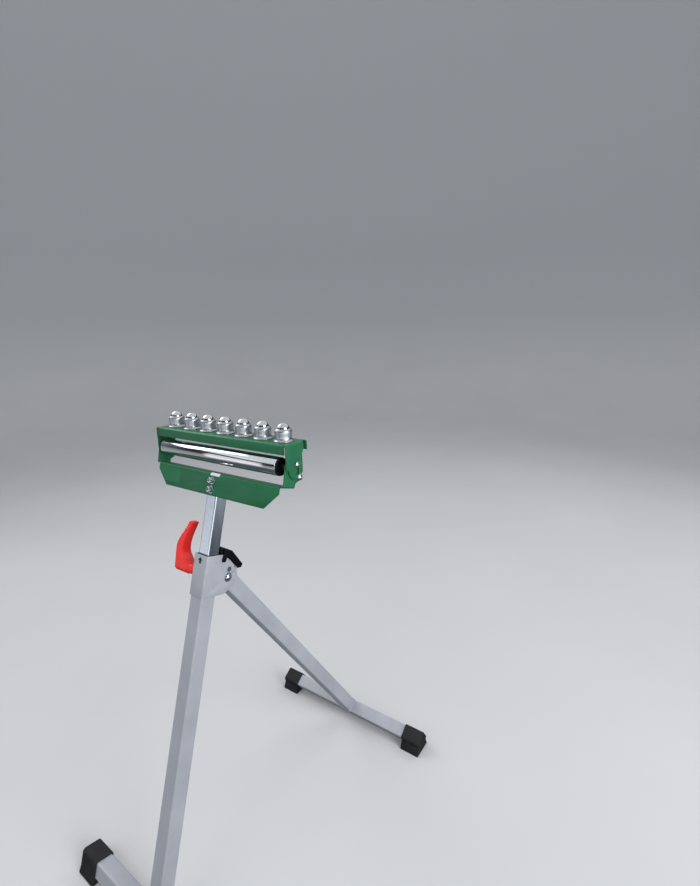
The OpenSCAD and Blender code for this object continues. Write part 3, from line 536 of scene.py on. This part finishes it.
# Weld beads round the ends of both leg tubes, where they stand on the foot bars
WELD_SPACING, WELD_DROP_R = 1.6, 1.9
WELD_AT = TUBE_HALF - 0.2
beads = weld_bead_tree()
for label, point, foot, body in (("front_weld", leg_point, FRONT_FOOT_UP, "front_frame"),
                                 ("rear_weld", rear_point, REAR_FOOT_DOWN, "rear_leg")):
    path = bpy.data.meshes.new(label + "_path")
    corners = [point(x * WELD_AT, foot, y * WELD_AT) for x, y in ((-1, -1), (1, -1), (1, 1), (-1, 1))]
    path.from_pydata(corners, [(i, (i + 1) % 4) for i in range(4)], [])
    bead = grown(label, beads, {"Spacing": WELD_SPACING * MM, "Drop radius": WELD_DROP_R * MM,
                                "Finish": grey_coat}, path)
    new_piece(label, smooth(bead, 80), body, grey_coat, "grey_paint")

# Plain film where the apron carries its label, with its lower left corner cut
LABEL_LEFT, LABEL_RIGHT, LABEL_TOP, LABEL_FOOT = -150.5, -88, -5.5, -31.5
LABEL_CUT_X, LABEL_CUT_UP = -132.5, -14.0
label = [(LABEL_LEFT, LABEL_TOP), (LABEL_RIGHT, LABEL_TOP), (LABEL_RIGHT, LABEL_FOOT),
         (LABEL_CUT_X, LABEL_FOOT), (LABEL_LEFT, LABEL_CUT_UP)]
film("label_film", label, APRON_FRONT, 0.12, "head", green_film, "green_powder")

# Arrow printed on the sleeve: a stem and a head
ARROW_STEM, ARROW_WING = 2.6, 6
ARROW_TAIL, ARROW_NECK, ARROW_TIP = SLEEVE_TOP - 15, SLEEVE_TOP - 9.8, SLEEVE_TOP - 3.6
arrow = [(-ARROW_STEM, ARROW_TAIL), (ARROW_STEM, ARROW_TAIL), (ARROW_STEM, ARROW_NECK),
         (ARROW_WING, ARROW_NECK), (0, ARROW_TIP), (-ARROW_WING, ARROW_NECK), (-ARROW_STEM, ARROW_NECK)]
film("arrow_print", arrow, SLEEVE_FRONT, 0.08, "front_frame", black_ink, "grey_paint")

# Small white tab, bent over the top of the apron, from its turn, place ahead and place up
TAB_LEFT, TAB_RIGHT, TAB_THICK, TAB_DROP = -7, 16, 0.15, 1.0
bend = [math.radians(10 * step) for step in range(8)]
over = [(0.0, APRON_FRONT, -APRON_BEND_R - TAB_DROP)]
over += [(a, APRON_FRONT - APRON_BEND_R + APRON_BEND_R * math.cos(a),
          -APRON_BEND_R + APRON_BEND_R * math.sin(a)) for a in bend]
work = bmesh.new()
strips = [[work.verts.new(leg_point(x, up + lift * math.sin(a), ahead + lift * math.cos(a)))
           for a, ahead, up in over]
          for lift in (0.0, TAB_THICK) for x in (TAB_LEFT, TAB_RIGHT)]
for first, second in ((0, 1), (3, 2), (2, 0), (1, 3)):
    for i in range(len(over) - 1):
        work.faces.new([strips[first][i], strips[second][i], strips[second][i + 1], strips[first][i + 1]])
for i in (0, -1):
    work.faces.new([strips[k][i] for k in (0, 1, 3, 2)])
bmesh.ops.recalc_face_normals(work, faces=work.faces)
new_piece("tab_film", smooth(mesh_from(work, "tab_film")), "head", white_film, "green_powder")

# Head bolts: hexagon behind the column, shank, and a round socket end in front of the nut
SHANK_R, SHANK_BACK, SHANK_FRONT = 3, -16.5, 20.2
END_R, END_FRONT, SOCKET_FLOOR = 4.9, 23.0, 19.6
HEXAGON_R, HEXAGON_H, HEXAGON_AT, HEXAGON_EDGE = 5.77, 4, -14.5, 0.35
BOLT_DROPS = (13.2, 28.9)
bolt_profile = [(0, SHANK_BACK), (SHANK_R, SHANK_BACK), (SHANK_R, SHANK_FRONT),
                (END_R - 0.6, SHANK_FRONT + 0.1), (END_R, SHANK_FRONT + 0.6), (END_R, END_FRONT - 0.7),
                (END_R - 0.4, END_FRONT - 0.2), (END_R - 0.7, END_FRONT), (2.6, END_FRONT),
                (2.3, END_FRONT - 0.3), (2.2, SOCKET_FLOOR), (0, SOCKET_FLOOR)]
work = bmesh.new()
for drop in BOLT_DROPS:
    seat = Matrix.Translation(leg_point(0, -drop, 0)) @ TO_AHEAD
    work.from_mesh(lathed("bolt", bolt_profile, seat, 48, False))
    hexagon = bmesh.new()
    bmesh.ops.create_cone(hexagon, cap_ends=True, segments=6, radius1=HEXAGON_R * MM,
                          radius2=HEXAGON_R * MM, depth=HEXAGON_H * MM)
    bmesh.ops.bevel(hexagon, geom=hexagon.edges[:], offset=HEXAGON_EDGE * MM, segments=2, affect="EDGES")
    bmesh.ops.transform(hexagon, matrix=seat @ Matrix.Translation((0, 0, HEXAGON_AT * MM)),
                        verts=hexagon.verts)
    work.from_mesh(mesh_from(hexagon, "hexagon"))
bolts = smooth(mesh_from(work, "head_bolts_turned"))
new_piece("head_bolts_turned", bolts, body_with("head_bolts"), zinc, "zinc_steel", "head_bolts")

# Floor that turns up into a wall all round, as radius and height in metres
COVE = [(0, 0), (2, 0), (4, 0), (5, 0), (5.8, 0.16), (6.5, 0.6), (6.9, 1.3), (7.0, 2.2), (7.0, 6.2)]
# Heights in metres between which the floor's colour turns into the wall's
WALL_RISE = (0.05, 1.6)
# Direction along which the cove's sides are told apart: to the right and front of the stand
SIDE = (0.82, -0.57, 0)
# Painted reflections, seen only by shiny pieces: painted shade on the floor round the stand, as distances
# in metres, and painted shade on the wall but for its left side, as reach along SIDE
FLOOR_PAINTED_SHADE, WALL_PAINTED_SHADE = (2.5, 1.7), (-6.6, -3.2)
# Shiny pieces also see a painted glow high up, but for its right side, as reach along SIDE and height
TOP_PAINTED_GLOW_SIDE, TOP_PAINTED_GLOW_RISE = (4.0, 0.0), (3.6, 4.8)
# And a painted glowing band low on the right, as reach along SIDE, height and strength
LOW_PAINTED_GLOW_SIDE, LOW_PAINTED_GLOW_RISE, LOW_PAINTED_GLOW_STRENGTH = (2.2, 3.8), (1.3, 0.5), 2.0
# Soft lamps: place in metres, size, watts, and whether shiny pieces show the lamp itself
LAMPS = (
    ("right", (3.0, -0.45, 1.75), 2.0, 84, True), ("front", (-0.2, -2.3, 2.5), 1.9, 18, False),
    ("left", (-1.85, -0.05, 2.25), 1.5, 18, True), ("low", (-1.6, -2.1, 0.85), 1.4, 5.0, True),
    ("back", (0.9, 2.4, 2.3), 2.0, 18, False),
)
LAMPS_AIM = Vector((0, 0, 0.72))


def cove_with_painted_reflections():
    """Pale paint that shows shiny pieces painted reflections: painted shade and a painted glow, for the
    dark and bright parts a workshop would have.
    """
    paint = bpy.data.materials.new("painted_cove")
    paint.use_nodes = True
    tree = paint.node_tree
    shader = tree.nodes["Principled BSDF"]
    shader.inputs["Roughness"].default_value = 0.8
    # Colour of the painted glow that shiny pieces see in the cove
    shader.inputs["Emission Color"].default_value = colour("#f4f6fa")
    place = add(tree, "ShaderNodeTexCoord").outputs["Object"]
    mirrored = add(tree, "ShaderNodeLightPath").outputs["Is Glossy Ray"]
    up = add(tree, "ShaderNodeSeparateXYZ", links={"Vector": place}).outputs["Z"]
    reach = add(tree, "ShaderNodeVectorMath", attrs={"operation": "LENGTH"}, links={0: place})
    aside = add(tree, "ShaderNodeVectorMath", attrs={"operation": "DOT_PRODUCT"}, values={1: SIDE},
                links={0: place})
    reach, aside = reach.outputs["Value"], aside.outputs["Value"]
    # Shares that rise softly from 0 to 1 between two distances
    shares = [add(tree, "ShaderNodeMapRange", attrs={"interpolation_type": "SMOOTHSTEP"},
                  values={"From Min": start, "From Max": end}, links={"Value": value}).outputs["Result"]
              for value, (start, end) in (
                  (reach, FLOOR_PAINTED_SHADE), (aside, WALL_PAINTED_SHADE), (up, WALL_RISE), (aside, TOP_PAINTED_GLOW_SIDE),
                  (up, TOP_PAINTED_GLOW_RISE), (aside, LOW_PAINTED_GLOW_SIDE), (up, LOW_PAINTED_GLOW_RISE))]
    floor_painted_shade, wall_painted_shade, risen, top_glow_side, top_glow_up, low_glow_side, low_glow_up = shares
    # The painted shade of floor and wall counts only in reflections; top and low are the two patches of
    # painted glow
    floor_painted_shade, wall_painted_shade, top, low = (
        add(tree, "ShaderNodeMath", attrs={"operation": "MULTIPLY"}, links={0: a, 1: b}).outputs[0]
        for a, b in ((floor_painted_shade, mirrored), (wall_painted_shade, mirrored), (top_glow_side, top_glow_up), (low_glow_side, low_glow_up)))
    dirt = add(tree, "ShaderNodeTexNoise", values={"Scale": 1.3, "Detail": 5.0}, links={"Vector": place})
    pale = add(tree, "ShaderNodeMix", attrs={"data_type": "RGBA"},
               values={6: colour("#bcbdbf"), 7: colour("#c8c9cb")}, links={0: dirt.outputs["Fac"]})
    # Floor colour: pale, with painted shade round the stand that only reflections show
    floor_with_painted_shade = add(tree, "ShaderNodeMix", attrs={"data_type": "RGBA"}, values={7: colour("#43474b")},
                links={0: floor_painted_shade, 6: pale.outputs[2]})
    # Wall colour: pale, with painted shade that only reflections show, but for its left side
    wall_with_painted_shade = add(tree, "ShaderNodeMix", attrs={"data_type": "RGBA"},
               values={6: colour("#b4b6ba"), 7: colour("#2e3033")}, links={0: wall_painted_shade})
    # The floor's colour turns into the wall's with height, and the painted shade of each comes along
    cove_colour_with_painted_shade = add(tree, "ShaderNodeMix", attrs={"data_type": "RGBA"},
               links={0: risen, 6: floor_with_painted_shade.outputs[2], 7: wall_with_painted_shade.outputs[2]})
    tree.links.new(cove_colour_with_painted_shade.outputs[2], shader.inputs["Base Color"])
    # Painted glow, shown only in reflections: the band low on the right and the top but for its right
    # side
    painted_glow = add(tree, "ShaderNodeMath", attrs={"operation": "MULTIPLY_ADD"}, values={1: LOW_PAINTED_GLOW_STRENGTH},
                 links={0: low, 2: top})
    painted_glow_in_reflections = add(tree, "ShaderNodeMath", attrs={"operation": "MULTIPLY"},
                links={0: painted_glow.outputs[0], 1: mirrored})
    tree.links.new(painted_glow_in_reflections.outputs[0], shader.inputs["Emission Strength"])
    return paint


def studio():
    """Cove with painted reflections, world and soft lamps round the stand."""
    work = lathe([(r * 1000, z * 1000) for r, z in COVE], 96, False)
    bmesh.ops.reverse_faces(work, faces=[f for f in work.faces if f.normal.dot(
        Vector((0, 0, 2)) - f.calc_center_median()) < 0])
    cove = linked("cove", smooth(mesh_from(work, "cove"), 80))
    cove.data.materials.append(cove_with_painted_reflections())
    world = bpy.data.worlds.new("studio")
    bpy.context.scene.world = world
    world.use_nodes = True
    world.node_tree.nodes["Background"].inputs["Color"].default_value = colour("#eceef1")
    world.node_tree.nodes["Background"].inputs["Strength"].default_value = 0.9
    for name, place, size, watts, mirrored in LAMPS:
        lamp = linked(name, bpy.data.lights.new(name, "AREA"))
        lamp.data.size = size
        lamp.data.energy = watts
        lamp.location = place
        lamp.rotation_euler = (LAMPS_AIM - Vector(place)).to_track_quat("-Z", "Y").to_euler()
        lamp.visible_glossy = mirrored


studio()

# Camera where the photograph was taken from, with its focal length in the photograph's pixels
YAW, PITCH, ROLL = math.radians(34.56), math.radians(12.59), math.radians(-1.19)
CAMERA_AT = (0.63744, -0.6021, 1.00855)
FOCAL_PIXELS, TALL_PIXELS, SENSOR = 470.07, 886, 36
forward = Vector((-math.sin(YAW) * math.cos(PITCH), math.cos(YAW) * math.cos(PITCH), -math.sin(PITCH)))
right = Vector((math.cos(YAW), math.sin(YAW), 0))
upward = right.cross(forward)
right_rolled = math.cos(ROLL) * right + math.sin(ROLL) * upward
up_rolled = -math.sin(ROLL) * right + math.cos(ROLL) * upward
camera = linked("camera", bpy.data.cameras.new("camera"))
camera.data.sensor_width = SENSOR
camera.data.lens = FOCAL_PIXELS * SENSOR / TALL_PIXELS
turned = Matrix((right_rolled, up_rolled, -forward)).transposed().to_4x4()
camera.matrix_world = Matrix.Translation(CAMERA_AT) @ turned
bpy.context.scene.camera = camera
bpy.context.scene.view_settings.view_transform = "Standard"
